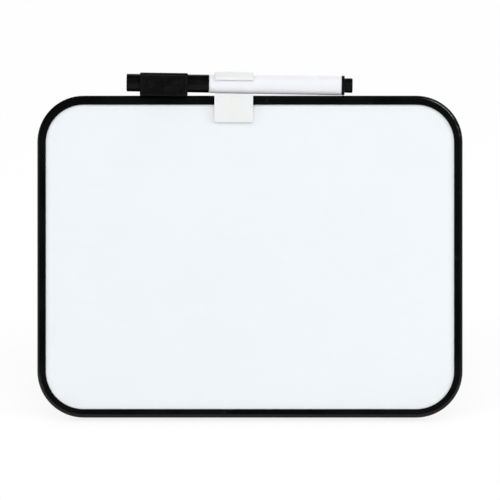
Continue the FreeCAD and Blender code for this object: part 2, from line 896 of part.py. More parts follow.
def make_cap_seal(model):
    """The soft ring in the cap that closes on the nib holder's cone."""
    def inner(place):
        return f"cone_front_round + cone_slope * ({place} - cone_front) + seal_gap"

    body = model.body("cap_seal")
    turned(body, [
        ("seal_front", inner("seal_front")),
        ("seal_front", "cap_bore - push_gap"),
        ("seal_back", "cap_bore - push_gap"),
        ("seal_back", inner("seal_back")),
    ])
    return body


def make_eraser_holder(model):
    """A shallow tray for the felt, with two hoops that snap round the cap."""
    body = model.body("eraser_holder")
    block = sketch_on(body, "XZ_Plane", "tray_back")
    rectangle(block, "eraser_long", "eraser_tall", "eraser_middle", "eraser_lift")
    base = pad(body, block, "tray_thick")
    base = round_edges(body, base, lambda edge: runs_along(edge, 1), "tray_round")
    front = -model.size("tray_front")
    round_edges(body, base, lambda edge: lies_at(edge, 1, front), "tray_edge")
    for start in ("eraser_start + hoop_inset", "eraser_start + eraser_long - hoop_inset - hoop_long"):
        hoop = sketch_on(body, "YZ_Plane", start)
        circle(hoop, "hoop_bore + hoop_wall")
        pad(body, hoop, "hoop_long")
    bore = sketch_on(body, "YZ_Plane", "eraser_start - overrun")
    circle(bore, "hoop_bore")
    pocket(body, bore, "eraser_long + 2 * overrun", flip=True)
    bed = sketch_on(body, "XZ_Plane", "tray_front")
    rectangle(bed, "eraser_long - 2 * tray_wall", "eraser_tall - 2 * tray_wall",
              "eraser_middle", "eraser_lift")
    pocket(body, bed, "tray_front - felt_back")
    return body


def make_eraser_pad(model):
    """The felt pad, standing proud of its tray."""
    body = model.body("eraser_pad")
    bed = sketch_on(body, "XZ_Plane", "felt_back")
    rectangle(bed, "eraser_long - 2 * (tray_wall + felt_gap)",
              "eraser_tall - 2 * (tray_wall + felt_gap)", "eraser_middle", "eraser_lift")
    base = pad(body, bed, "tray_front + felt_proud - felt_back")
    front = -(model.size("tray_front") + model.size("felt_proud"))
    round_edges(body, base, lambda edge: lies_at(edge, 1, front), "felt_edge")
    return body


def shift(across=0, deep=0, up=0):
    """A placement that only moves."""
    return FreeCAD.Placement(FreeCAD.Vector(across, deep, up), FreeCAD.Rotation())


def turn(axis, angle):
    """A placement that only turns, about an axis through the origin."""
    return FreeCAD.Placement(FreeCAD.Vector(), FreeCAD.Rotation(axis, angle))


def frames(model):
    """Where each frame lies in the leaning board's, before the whole is set on the desk."""
    size = model.size
    along, inward = FreeCAD.Vector(1, 0, 0), FreeCAD.Vector(0, 1, 0)
    board = turn(along, -size("lean"))
    pin = board * shift(0, size("pin_deep"), size("hinge_up") - size("board_tall") / 2)
    axis_up = size("board_tall") / 2 + size("axis_rise")
    clip = board * shift(size("clip_across"), size("rim_deep") / 2, axis_up) * turn(inward, size("clip_lean"))
    foot_across = size("board_wide") / 2 - size("foot_inset")
    corner = [
        board * shift(side * foot_across, size("rim_deep"), -size("board_tall") / 2)
        for side in (-1, 1)
    ]
    return {
        "board": board,
        "pin": pin,
        "leg": pin * turn(along, size("leg_open")),
        "left": corner[0],
        "right": corner[1],
        "clip": clip,
        "eraser": clip * turn(along, size("eraser_roll")),
    }


def build(model):
    """Make every sub-part and give it the frame that it is drawn in."""
    made = {
        "board": [
            make_frame_rim(model),
            make_writing_sheet(model),
            make_core_board(model),
            make_rear_panel(model),
        ],
        "pin": [
            make_hinge_bracket(model),
            make_hinge_pin(model),
            make_pin_ring(model),
            make_bracket_screws(model),
        ],
        "left": [make_rubber_foot(model, "rubber_foot_left")],
        "right": [make_rubber_foot(model, "rubber_foot_right")],
        "leg": [make_easel_leg(model), make_leg_shoe(model)],
        "clip": [
            make_marker_clip(model),
            make_marker_barrel(model),
            make_end_plug(model),
            make_nib_holder(model),
            make_marker_nib(model),
            make_ink_reservoir(model),
            make_marker_cap(model),
            make_cap_seal(model),
        ],
        "eraser": [make_eraser_holder(model), make_eraser_pad(model)],
    }
    places = frames(model)
    for frame, parts in made.items():
        for part in parts:
            part.Placement = places[frame]
    model.doc.recompute()
    return made, places


def settle(model, made, places):
    """Set the whole on the desk, with the origin under the middle of its box."""
    boxes = [part.Shape.optimalBoundingBox() for part in model.parts]
    seat = shift(
        -(min(box.XMin for box in boxes) + max(box.XMax for box in boxes)) / 2,
        -(min(box.YMin for box in boxes) + max(box.YMax for box in boxes)) / 2,
        -min(box.ZMin for box in boxes))
    for frame, parts in made.items():
        places[frame] = seat * places[frame]
        for part in parts:
            part.Placement = places[frame]
    model.doc.recompute()


def check(model):
    """Stop if any object failed or any sub-part is not a sound solid."""
    for item in model.doc.Objects:
        if "Invalid" in item.State or "Error" in item.State:
            raise ValueError(f"{item.Name} is {item.State}")
    for part in model.parts:
        shape = part.Shape
        if shape.isNull() or not shape.isValid() or not shape.Solids:
            raise ValueError(f"{part.Label} is not a sound solid")


def write(model):
    """Write each sub-part to its own file."""
    os.makedirs("parts", exist_ok=True)
    for part in model.parts:
        part.Shape.exportStep(os.path.join("parts", f"{part.Label}.step"))
        box = part.Shape.optimalBoundingBox()
        print(f"{part.Label}: {len(part.Shape.Solids)} solid(s), {part.Shape.Volume:.0f} mm3,"
              f" {box.XLength:.1f} x {box.YLength:.1f} x {box.ZLength:.1f} mm")


def report_axes(places):
    """Print where the joints' axes lie, in millimetres."""
    for name in ("pin", "clip"):
        place = places[name]
        axis = place.Rotation.multVec(FreeCAD.Vector(1, 0, 0))
        print(f"{name} frame at {tuple(round(value, 4) for value in place.Base)},"
              f" X axis {tuple(round(value, 6) for value in axis)}")


def main():
    """Build the whole, check it and write it out."""
    model = Model()
    made, places = build(model)
    settle(model, made, places)
    check(model)
    write(model)
    report_axes(places)
    return model, places


model, places = main()
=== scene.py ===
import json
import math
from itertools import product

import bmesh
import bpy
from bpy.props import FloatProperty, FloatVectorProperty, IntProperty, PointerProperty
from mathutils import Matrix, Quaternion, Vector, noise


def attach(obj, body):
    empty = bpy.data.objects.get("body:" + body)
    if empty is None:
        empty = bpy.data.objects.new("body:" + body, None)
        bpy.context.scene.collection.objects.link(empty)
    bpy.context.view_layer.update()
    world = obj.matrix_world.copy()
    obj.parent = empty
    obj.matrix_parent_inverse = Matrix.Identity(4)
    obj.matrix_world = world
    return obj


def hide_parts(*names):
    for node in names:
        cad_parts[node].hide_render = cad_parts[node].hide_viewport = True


bl_info = {
    "name": "Desk Whiteboard Easel",
    "version": (1, 0, 0),
    "blender": (4, 5, 0),
    "location": "3D View > Sidebar > Whiteboard",
    "description": "Finishes, felt, nib and studio for a small whiteboard with a marker on its rim",
    "category": "Object",
}

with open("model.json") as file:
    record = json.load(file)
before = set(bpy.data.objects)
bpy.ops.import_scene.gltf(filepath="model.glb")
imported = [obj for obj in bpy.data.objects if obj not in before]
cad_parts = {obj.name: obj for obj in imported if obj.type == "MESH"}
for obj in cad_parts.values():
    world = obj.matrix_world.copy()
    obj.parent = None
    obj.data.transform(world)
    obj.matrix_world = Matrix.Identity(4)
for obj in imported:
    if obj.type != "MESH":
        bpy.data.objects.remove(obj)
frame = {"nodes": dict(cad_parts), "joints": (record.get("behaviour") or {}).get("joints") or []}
nodes = frame["nodes"]
joints = {joint["name"]: joint for joint in frame["joints"]}
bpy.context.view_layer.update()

MM = 0.001

# A length under this counts as none
NONE = 1e-9

# The photograph: its frame, the board's sides and middle in it, in pixels
PHOTO_WIDE = 500
PHOTO_BOARD_LEFT = 37.3
PHOTO_BOARD_RIGHT = 462.6
PHOTO_BOARD_MIDDLE_X = 249.95
PHOTO_BOARD_MIDDLE_Y = 256.65

# How far the lens sees, in metres
LENS_REACH = 100

# Gloss sees the full backdrop below the first height over the horizon, and a dim sky above the second
BACKDROP_RISE = math.radians(5)
DIM_SKY_RISE = math.radians(12)
DIM_SKY = 0.03

# How pale the floor is in the light that it gives, and the level of light on it in the open
FLOOR_COLOUR = 0.85
FLOOR_LIGHT = 0.9


class Facing:
    """A node that faces the writer: its directions across, up and out, and its reach along each."""

    def __init__(self, node, flat, across):
        mesh = nodes[node].data
        out = max(nodes[flat].data.polygons, key=lambda face: face.area).normal.copy()
        if out.y > 0:
            out.negate()
        self.across = Vector(across).normalized()
        self.out = (out - out.project(self.across)).normalized()
        self.up = self.out.cross(self.across)
        spans = []
        for direction in (self.across, self.up, self.out):
            places = [corner.co.dot(direction) for corner in mesh.vertices]
            spans.append((min(places), max(places)))
        self.sizes = Vector([high - low for low, high in spans])
        self.middle = sum(
            (direction * (low + high) / 2
             for direction, (low, high) in zip((self.across, self.up, self.out), spans)),
            Vector())

    def point(self, across=0.0, up=0.0, out=0.0):
        """A point given from the node's middle along its directions."""
        return self.middle + self.across * across + self.up * up + self.out * out

    def matrix(self):
        """Puts a mesh drawn across X, up Y and out Z in the node's place."""
        turned = Matrix((self.across, self.up, self.out)).transposed().to_4x4()
        return Matrix.Translation(self.middle) @ turned


board = Facing("frame_rim", "writing_sheet", (1, 0, 0))
LEAN = math.atan2(board.up.y, board.up.z)
marker_left = Vector(joints["cap_pull"]["axis"]).normalized()
felt_seat = Facing("eraser_pad", "eraser_pad", -marker_left)


class EaselFinishes(bpy.types.PropertyGroup):
    """Colours of the pieces, as linear values."""

    rim: FloatVectorProperty(
        name="Rim", description="Glossy moulding round the board",
        subtype="COLOR", size=3, min=0, max=1, default=(0.0017, 0.0018, 0.0019))
    sheet: FloatVectorProperty(
        name="Sheet", description="Dry-wipe coating",
        subtype="COLOR", size=3, min=0, max=1, default=(0.865, 0.915, 0.94))
    core: FloatVectorProperty(
        name="Core", description="Fibre board behind the sheet",
        subtype="COLOR", size=3, min=0, max=1, default=(0.30, 0.19, 0.11))
    panel: FloatVectorProperty(
        name="Back", description="Textured moulding behind the board",
        subtype="COLOR", size=3, min=0, max=1, default=(0.016, 0.016, 0.017))
    leg: FloatVectorProperty(
        name="Leg", description="Leg and hinge bracket",
        subtype="COLOR", size=3, min=0, max=1, default=(0.013, 0.013, 0.014))
    rubber: FloatVectorProperty(
        name="Rubber", description="Feet and the leg's shoe",
        subtype="COLOR", size=3, min=0, max=1, default=(0.019, 0.019, 0.019))
    steel: FloatVectorProperty(
        name="Steel", description="Pin, ring and screws",
        subtype="COLOR", size=3, min=0, max=1, default=(0.62, 0.61, 0.60))
    clip: FloatVectorProperty(
        name="Clip", description="Satin moulding on the rim",
        subtype="COLOR", size=3, min=0, max=1, default=(0.848, 0.862, 0.852))
    barrel: FloatVectorProperty(
        name="Barrel", description="Marker's tube",
        subtype="COLOR", size=3, min=0, max=1, default=(0.885, 0.890, 0.932))
    cap: FloatVectorProperty(
        name="Cap", description="Marker's cap, plug and nib holder",
        subtype="COLOR", size=3, min=0, max=1, default=(0.0022, 0.0023, 0.0025))
    tray: FloatVectorProperty(
        name="Tray", description="Eraser's holder",
        subtype="COLOR", size=3, min=0, max=1, default=(0.0026, 0.0026, 0.0027))
    felt: FloatVectorProperty(
        name="Felt", description="Eraser's pad",
        subtype="COLOR", size=3, min=0, max=1, default=(0.0028, 0.0028, 0.0029))
    ink: FloatVectorProperty(
        name="Ink", description="Nib and reservoir soaked in ink",
        subtype="COLOR", size=3, min=0, max=1, default=(0.010, 0.010, 0.013))
    seal: FloatVectorProperty(
        name="Seal", description="Soft ring in the cap",
        subtype="COLOR", size=3, min=0, max=1, default=(0.16, 0.16, 0.17))


class FeltSizes(bpy.types.PropertyGroup):
    """Shape of the eraser's felt."""

    pitch: FloatProperty(
        name="Pitch", description="Side of one facet of the felt's mesh",
        unit="LENGTH", min=0.1 * MM, default=0.32 * MM)
    edge: FloatProperty(
        name="Edge", description="Radius of the worn edges",
        unit="LENGTH", min=0, default=1.0 * MM)
    crown: FloatProperty(
        name="Crown", description="How far the middle stands above the edges",
        unit="LENGTH", min=0, default=0.25 * MM)
    waist: FloatProperty(
        name="Waist", description="How far the sides draw in halfway down",
        unit="LENGTH", min=0, default=0.12 * MM)
    nap: FloatProperty(
        name="Nap", description="Depth of the fibres' relief",
        unit="LENGTH", min=0, default=0.10 * MM)
    tuft: FloatProperty(
        name="Tuft", description="Size of one tuft of fibres",
        unit="LENGTH", min=0.1 * MM, default=0.9 * MM)


class NibSizes(bpy.types.PropertyGroup):
    """Shape of the marker's fibre nib."""

    tip: FloatProperty(
        name="Tip", description="Length of the rounded tip",
        unit="LENGTH", min=0.5 * MM, default=3.2 * MM)
    flat: FloatProperty(
        name="Flat", description="Radius worn flat on the tip",
        unit="LENGTH", min=0, default=0.5 * MM)
    sides: IntProperty(
        name="Sides", description="Facets round the nib", min=12, default=48)
    ridges: IntProperty(
        name="Ridges", description="Bundles of fibre round the nib", min=0, default=12)
    relief: FloatProperty(
        name="Relief", description="Depth of the grooves between the bundles",
        unit="LENGTH", min=0, default=0.05 * MM)


class StudioSettings(bpy.types.PropertyGroup):
    """Camera, lamps, sky and floor."""

    distance: FloatProperty(
        name="Camera distance", description="From the camera to the rim's outline",
        unit="LENGTH", min=0.5, default=3.2)
    strip_power: FloatProperty(
        name="Strip lamp", description="Power of the strip high on the right, seen in gloss alone",
        unit="POWER", min=0, default=8.6)
    left_power: FloatProperty(
        name="Left lamp", description="Power of the softbox on the left",
        unit="POWER", min=0, default=5.0)
    right_power: FloatProperty(
        name="Right lamp", description="Power of the softbox on the right",
        unit="POWER", min=0, default=8.5)
    top_power: FloatProperty(
        name="Top lamp", description="Power of the softbox over the floor in front",
        unit="POWER", min=0, default=3.0)
    front_power: FloatProperty(
        name="Front lamp", description="Power of the low softbox in front",
        unit="POWER", min=0, default=0.7)
    back_power: FloatProperty(
        name="Back lamp", description="Power of the softbox behind",
        unit="POWER", min=0, default=5.0)
    fill: FloatProperty(
        name="Fill", description="Level of the soft light from the horizon",
        min=0, default=0.365)
    overhead: FloatProperty(
        name="Overhead", description="Level of the soft light from straight above",
        min=0, default=0.78)
    background: FloatProperty(
        name="Background", description="Level of the backdrop where it is seen",
        min=0, max=1, default=0.991)
    floor_wide: FloatProperty(
        name="Floor", description="Side of the floor",
        unit="LENGTH", min=1, default=12.0)
    floor_shade: FloatProperty(
        name="Floor shade", description="How much of the floor's look is its own shading",
        min=0, max=1, default=0.18)
    floor_fade: FloatProperty(
        name="Floor fade", description="Distance at which the floor has turned into plain backdrop",
        unit="LENGTH", min=0.1, default=0.75)


class ShaderTree:
    """Adds nodes to a node tree, each with what feeds it."""

    def __init__(self, tree):
        self.tree = tree

    def feed(self, socket, value):
        """Set a socket to a value, or link another node's output to it."""
        if isinstance(value, bpy.types.NodeSocket):
            self.tree.links.new(value, socket)
        else:
            socket.default_value = value

    def add(self, kind, settings=None, **inputs):
        """A node with its settings, and inputs given as values or as other nodes' outputs."""
        made = self.tree.nodes.new(kind)
        for name, value in (settings or {}).items():
            setattr(made, name, value)
        for name, value in inputs.items():
            self.feed(made.inputs[name.replace("_", " ")], value)
        return made

    def maths(self, how, one, other):
        """Two values added, multiplied or compared."""
        made = self.add("ShaderNodeMath", {"operation": how})
        self.feed(made.inputs[0], one)
        self.feed(made.inputs[1], other)
        return made.outputs["Value"]

    def eased(self, value, span, onto=(0.0, 1.0), how="SMOOTHSTEP"):
        """A value's span laid onto another, slow at both ends unless how says otherwise."""
        low, high = span
        to_low, to_high = onto
        made = self.add(
            "ShaderNodeMapRange", {"interpolation_type": how},
            Value=value, From_Min=low, From_Max=high, To_Min=to_low, To_Max=to_high)
        return made.outputs["Result"]

    def shader_mix(self, share, one, other):
        """Two shaders mixed by a share."""
        made = self.add("ShaderNodeMixShader", Fac=share)
        self.feed(made.inputs[1], one)
        self.feed(made.inputs[2], other)
        return made.outputs["Shader"]

    def seen_by(self, *rays):
        """1 for the camera's rays and for the named kinds."""
        path = self.add("ShaderNodeLightPath")
        seen = path.outputs["Is Camera Ray"]
        for ray in rays:
            seen = self.maths("MAXIMUM", seen, path.outputs[ray])
        return seen


def finishes():
    """The pieces' colours as the scene has them."""
    return bpy.context.scene.easel_finishes


def scaled(colour, factor):
    """A colour made darker or lighter, no part over 1."""
    return tuple(min(1.0, part * factor) for part in colour)


def grey(level):
    """A level as a colour socket's value."""
    return (level, level, level, 1)


class Finish(ShaderTree):
    """A material's node tree. Coordinates are in millimetres in the leaning board's directions."""

    def __init__(self, name, roughness, **sockets):
        self.material = bpy.data.materials.new(name)
        self.material.use_nodes = True
        super().__init__(self.material.node_tree)
        self.shader = self.tree.nodes["Principled BSDF"]
        self.shader.inputs["Roughness"].default_value = roughness
        for socket, value in sockets.items():
            self.shader.inputs[socket.replace("_", " ")].default_value = value
        spot = self.add("ShaderNodeTexCoord")
        turned = self.add(
            "ShaderNodeMapping", Vector=spot.outputs["Object"],
            Rotation=(LEAN, 0, 0), Scale=(1 / MM, 1 / MM, 1 / MM))
        self.place = turned.outputs["Vector"]
        self.normal = None

    def stretched(self, x=1.0, y=1.0, z=1.0):
        """The coordinates drawn out, each axis by its factor."""
        mapped = self.add("ShaderNodeMapping", Vector=self.place, Scale=(1 / x, 1 / y, 1 / z))
        return mapped.outputs["Vector"]

    def grain(self, size, detail=2.0, roughness=0.5, distortion=0.0, at=None):
        """Soft noise whose features are about size millimetres, from 0 to 1."""
        made = self.add(
            "ShaderNodeTexNoise", Vector=at or self.place, Scale=1 / size,
            Detail=detail, Roughness=roughness, Distortion=distortion)
        return made.outputs["Fac"]

    def cells(self, size):
        """Distance to scattered points about size millimetres apart."""
        made = self.add("ShaderNodeTexVoronoi", Vector=self.place, Scale=1 / size)
        return made.outputs["Distance"]

    def mixed(self, share, one, other):
        """Two colours mixed by a share."""
        made = self.add("ShaderNodeMix", {"data_type": "RGBA"})
        self.feed(made.inputs["Factor"], share)
        for socket, colour in zip((made.inputs[6], made.inputs[7]), (one, other)):
            self.feed(socket, colour if isinstance(colour, bpy.types.NodeSocket) else (*colour, 1))
        return made.outputs[2]

    def mottled(self, colour, pattern, low, high):
        """A colour times low where a pattern is 0, and times high where it is 1."""
        return self.mixed(pattern, scaled(colour, low), scaled(colour, high))

    def over(self, tone, colour, where, strength):
        """A colour laid over a tone where a pattern shows, by up to a strength."""
        return self.mixed(self.maths("MULTIPLY", where, strength), tone, colour)

    def relief(self, height, depth):
        """Raise the surface by a pattern, depth in millimetres."""
        made = self.add("ShaderNodeBump", Height=height, Distance=depth * MM, Strength=1.0)
        if self.normal:
            self.feed(made.inputs["Normal"], self.normal)
        self.normal = made.outputs["Normal"]

    def worn_and_lit_edges(self, radius):
        """Where the surface turns within a radius in millimetres of an edge, from 0 to 1: a mask for
        edge wear, and on the clip for a painted highlight.
        """
        samples = 6
        alike, apart = 0.99, 0.80
        soft = self.add("ShaderNodeBevel", {"samples": samples}, Radius=radius * MM)
        flat = self.add("ShaderNodeNewGeometry")
        likeness = self.add("ShaderNodeVectorMath", {"operation": "DOT_PRODUCT"})
        self.feed(likeness.inputs[0], soft.outputs["Normal"])
        self.feed(likeness.inputs[1], flat.outputs["Normal"])
        return self.eased(likeness.outputs["Value"], (alike, apart))

    def worn(self, radius, patch, span, detail=4.0):
        """Rubbed edges, broken up by patches whose size is in millimetres."""
        patches = self.eased(self.grain(patch, detail), span)
        return self.maths("MULTIPLY", self.worn_and_lit_edges(radius), patches)

    def done(self, colour, roughness=None):
        """Feed the shader, and give the material."""
        self.feed(self.shader.inputs["Base Color"], colour)
        if roughness:
            self.feed(self.shader.inputs["Roughness"], roughness)
        if self.normal:
            self.feed(self.shader.inputs["Normal"], self.normal)
        return self.material


def gloss_moulding():
    """The rim: black plastic off a polished mould, with faint handling marks."""
    finish = Finish("rim_gloss_black", roughness=0.20, Specular_IOR_Level=0.30)
    black = finishes().rim
    flow = finish.eased(finish.grain(60.0), (0.35, 0.65))
    smudge = finish.grain(26.0, detail=3.0, roughness=0.6)
    scuff = finish.grain(0.5, detail=1.0, at=finish.stretched(x=14, z=14))
    scuffs = finish.eased(scuff, (0.66, 0.80))
    edges = finish.worn(radius=0.5, patch=7.0, span=(0.42, 0.68))
    tone = finish.mottled(black, flow, low=0.85, high=1.2)
    tone = finish.over(tone, scaled(black, 3.2), edges, strength=0.5)
    rough = finish.eased(smudge, (0.35, 0.65), onto=(0.15, 0.24))
    rough = finish.maths("ADD", rough, finish.maths("MULTIPLY", scuffs, 0.10))
    finish.relief(finish.grain(2.2), depth=0.010)
    finish.relief(scuff, depth=0.0015)
    return finish.done(tone, rough)


def dry_wipe_coating():
    """The sheet: a hard white coat with slight orange peel and the haze that wiping leaves."""
    finish = Finish(
        "sheet_dry_wipe_white", roughness=0.34, Specular_IOR_Level=0.40,
        Coat_Weight=0.25, Coat_Roughness=0.16)
    white = finishes().sheet
    patches = finish.eased(finish.grain(70.0), (0.3, 0.7))
    wiped = finish.grain(
        5.0, detail=4.0, roughness=0.62, distortion=0.4, at=finish.stretched(x=9, z=1.6))
    haze = finish.eased(wiped, (0.48, 0.78))
    specks = finish.eased(finish.cells(19.0), (0.020, 0.006))
    tone = finish.mottled(white, patches, low=0.992, high=1.0)
    tone = finish.over(tone, scaled(white, 0.90), haze, strength=0.10)
    tone = finish.over(tone, scaled(white, 0.55), specks, strength=0.35)
    rough = finish.eased(wiped, (0.35, 0.75), onto=(0.28, 0.42))
    finish.relief(finish.grain(1.6), depth=0.006)
    return finish.done(tone, rough)


def pressed_fibre():
    """The core: brown hardboard with matted strands."""
    finish = Finish("core_hardboard", roughness=0.85, Specular_IOR_Level=0.2)
    brown = finishes().core
    strands = finish.grain(1.2, detail=5.0, roughness=0.65, at=finish.stretched(x=4))
    flecks = finish.eased(finish.cells(1.6), (0.30, 0.05))
    tone = finish.mottled(brown, finish.eased(strands, (0.3, 0.7)), low=0.6, high=1.3)
    tone = finish.over(tone, scaled(brown, 0.35), flecks, strength=0.5)
    finish.relief(strands, depth=0.12)
    return finish.done(tone)


def textured_moulding(name, black, pit=0.55, depth=0.035, rough=(0.48, 0.66), gleam=0.30):
    """Black plastic off a spark-eroded mould: fine pits, dull bloom, dust and pale worn edges."""
    dust_grey = (0.35, 0.34, 0.32)
    finish = Finish(name, roughness=rough[0], Specular_IOR_Level=gleam)
    bloom = finish.grain(18.0, detail=4.0, roughness=0.6)
    edges = finish.worn(radius=0.45, patch=4.0, span=(0.38, 0.66))
    dust = finish.eased(finish.grain(0.7, detail=3.0, roughness=0.7), (0.64, 0.80))
    tone = finish.mottled(black, finish.eased(bloom, (0.35, 0.68)), low=0.92, high=1.12)
    tone = finish.over(tone, scaled(black, 3.4), edges, strength=0.6)
    tone = finish.over(tone, dust_grey, dust, strength=0.05)
    finish.relief(finish.cells(pit), depth)
    finish.relief(finish.grain(pit / 2), depth / 3)
    return finish.done(tone, finish.eased(bloom, (0.3, 0.7), onto=rough))


def dull_rubber():
    """Feet and shoe: matt rubber with a dusty bloom and scuffed corners."""
    finish = Finish(
        "rubber_matt_black", roughness=0.82, Specular_IOR_Level=0.25,
        Sheen_Weight=0.08, Sheen_Roughness=0.5)
    black = finishes().rubber
    bloom = finish.eased(finish.grain(5.0, detail=5.0, roughness=0.7), (0.40, 0.75))
    edges = finish.worn(radius=0.7, patch=1.4, span=(0.35, 0.6), detail=3.0)
    tone = finish.over(black, scaled(black, 2.6), bloom, strength=0.35)
    tone = finish.over(tone, scaled(black, 3.6), edges, strength=0.5)
    finish.relief(finish.grain(0.35, detail=3.0, roughness=0.7), depth=0.03)
    return finish.done(tone, finish.eased(bloom, (0, 1), onto=(0.76, 0.92)))


def drawn_steel(name, lengthwise):
    """Bright steel with drawing lines, either along X or round it, and a few dull stains."""
    stain_grey = (0.42, 0.40, 0.36)
    finish = Finish(name, roughness=0.28, Metallic=1.0, Anisotropic=0.45 if lengthwise else 0.0)
    bright = finishes().steel
    drawn = finish.stretched(x=30) if lengthwise else finish.stretched(y=12, z=12)
    lines = finish.grain(0.10, detail=3.0, roughness=0.6, at=drawn)
    stains = finish.eased(finish.grain(2.4, detail=4.0, roughness=0.6), (0.45, 0.75))
    tone = finish.mottled(bright, finish.eased(lines, (0.3, 0.7)), low=0.82, high=1.05)
    tone = finish.over(tone, stain_grey, stains, strength=0.35)
    finish.relief(lines, depth=0.004)
    return finish.done(tone, finish.eased(lines, (0.25, 0.75), onto=(0.20, 0.38)))


def zinc_plating():
    """Screws: bright zinc with a blue and straw cast."""
    zinc_blue = (0.52, 0.55, 0.60)
    zinc_straw = (0.62, 0.57, 0.45)
    finish = Finish("screw_zinc", roughness=0.32, Metallic=1.0)
    cast = finish.eased(finish.grain(1.3, detail=3.0, roughness=0.6), (0.35, 0.65))
    bare = finish.eased(finish.grain(0.25, detail=3.0), (0.45, 0.7), onto=(0, 0.5))
    tone = finish.mixed(bare, finish.mixed(cast, zinc_blue, zinc_straw), finishes().steel)
    finish.relief(finish.grain(0.12), depth=0.004)
    rough = finish.eased(finish.grain(0.5, detail=3.0), (0.3, 0.7), onto=(0.24, 0.44))
    return finish.done(tone, rough)


def satin_white_moulding():
    """The clip: white plastic with flow lines, a painted highlight along its edges and a few grimy
    streaks.
    """
    finish = Finish(
        "clip_satin_white", roughness=0.42, Specular_IOR_Level=0.42,
        Subsurface_Weight=0.06, Subsurface_Scale=0.6 * MM)
    white = finishes().clip
    flow = finish.eased(finish.grain(9.0, at=finish.stretched(z=2.5)), (0.3, 0.7))
    streaks = finish.eased(finish.grain(0.6, at=finish.stretched(z=12)), (0.66, 0.82))
    tone = finish.mottled(white, flow, low=0.985, high=1.0)
    # Painted highlight: the edges get a paler colour that stands in for the light they catch, not wear
    tone = finish.mixed(finish.worn_and_lit_edges(radius=0.6), tone, scaled(white, 1.06))
    tone = finish.over(tone, scaled(white, 0.8), streaks, strength=0.08)
    finish.relief(finish.grain(0.9), depth=0.008)
    rough = finish.eased(finish.grain(6.0, detail=3.0), (0.3, 0.7), onto=(0.36, 0.50))
    return finish.done(tone, rough)


def glossy_white_tube():
    """The barrel: white plastic, a shade blue, with lengthwise draw lines."""
    finish = Finish(
        "barrel_gloss_white", roughness=0.26, Specular_IOR_Level=0.35,
        Subsurface_Weight=0.05, Subsurface_Scale=0.6 * MM)
    white = finishes().barrel
    drawn = finish.grain(0.5, at=finish.stretched(x=90))
    haze = finish.eased(finish.grain(30.0), (0.3, 0.7))
    tone = finish.mottled(white, finish.eased(drawn, (0.3, 0.7)), low=0.992, high=1.0)
    tone = finish.over(tone, scaled(white, 0.97), haze, strength=0.15)
    finish.relief(drawn, depth=0.002)
    finish.relief(finish.grain(2.0), depth=0.005)
    return finish.done(tone, finish.eased(haze, (0, 1), onto=(0.24, 0.30)))


def satin_black_moulding(name, roughness):
    """Cap, plug and nib holder: black plastic with draw lines, fine texture and rubbed edges."""
    smoother, duller = roughness - 0.05, roughness + 0.08
    finish = Finish(name, roughness, Specular_IOR_Level=0.13)
    black = finishes().cap
    drawn = finish.grain(0.35, at=finish.stretched(x=70))
    smudge = finish.grain(7.0, detail=4.0, roughness=0.6)
    edges = finish.worn(radius=0.35, patch=2.5, span=(0.38, 0.62))
    tone = finish.mottled(black, finish.eased(smudge, (0.35, 0.65)), low=0.85, high=1.25)
    tone = finish.over(tone, scaled(black, 4.5), edges, strength=0.5)
    finish.relief(drawn, depth=0.0025)
    finish.relief(finish.grain(0.5), depth=0.006)
    return finish.done(tone, finish.eased(smudge, (0.3, 0.7), onto=(smoother, duller)))


def pressed_felt():
    """The eraser's felt: tangled wool in tufts, with a slight sheen and stray pale fibres."""
    lint_grey = (0.16, 0.16, 0.17)
    finish = Finish(
        "felt_black_wool", roughness=0.95, Specular_IOR_Level=0.05,
        Sheen_Weight=0.05, Sheen_Roughness=0.5)
    black = finishes().felt
    tangle = finish.grain(0.55, detail=5.0, roughness=0.7, distortion=1.6)
    tufts = finish.eased(finish.grain(2.6, detail=4.0, roughness=0.6), (0.35, 0.68))
    fibre = finish.add(
        "ShaderNodeTexWave", {"wave_type": "BANDS", "bands_direction": "DIAGONAL"},
        Vector=finish.place, Scale=0.9, Distortion=26.0, Detail=4.0, Detail_Scale=2.2)
    fibres = finish.eased(fibre.outputs["Fac"], (0.93, 0.995))
    sparse = finish.eased(finish.grain(3.5, detail=3.0), (0.50, 0.62))
    lint = finish.maths("MULTIPLY", fibres, sparse)
    tone = finish.mottled(black, tufts, low=0.7, high=1.5)
    tone = finish.mixed(finish.eased(tangle, (0.45, 0.75)), tone, scaled(black, 2.2))
    tone = finish.over(tone, lint_grey, lint, strength=0.12)
    finish.relief(tangle, depth=0.16)
    return finish.done(tone, finish.eased(tufts, (0, 1), onto=(0.90, 1.0)))


def inked_fibre(name, drawn_out):
    """Bundled fibre soaked in black ink, with a wet gleam here and there."""
    finish = Finish(name, roughness=0.5, Specular_IOR_Level=0.5)
    ink = finishes().ink
    strands = finish.grain(0.16, detail=3.0, roughness=0.6, at=finish.stretched(x=drawn_out))
    wet = finish.eased(finish.grain(1.2, detail=3.0), (0.4, 0.65))
    tone = finish.mottled(ink, finish.eased(strands, (0.35, 0.7)), low=0.5, high=2.4)
    finish.relief(strands, depth=0.05)
    return finish.done(tone, finish.eased(wet, (0, 1), onto=(0.62, 0.30)))


def soft_seal():
    """The ring in the cap: grey elastomer with a fine bloom."""
    finish = Finish(
        "seal_soft_grey", roughness=0.6, Specular_IOR_Level=0.4,
        Subsurface_Weight=0.05, Subsurface_Scale=0.5 * MM)
    grey = finishes().seal
    bloom = finish.eased(finish.grain(1.4, detail=4.0, roughness=0.6), (0.35, 0.7))
    finish.relief(finish.grain(0.3), depth=0.01)
    rough = finish.eased(bloom, (0, 1), onto=(0.52, 0.70))
    return finish.done(finish.mottled(grey, bloom, low=0.85, high=1.2), rough)


def dress(material, *names):
    """Give a material to CAD nodes in the slots that they came with."""
    for name in names:
        if name not in nodes:
            raise RuntimeError(f"the frame has no node {name}")
        slots = nodes[name].material_slots
        if not slots:
            nodes[name].data.materials.append(material)
        for slot in slots:
            slot.material = material


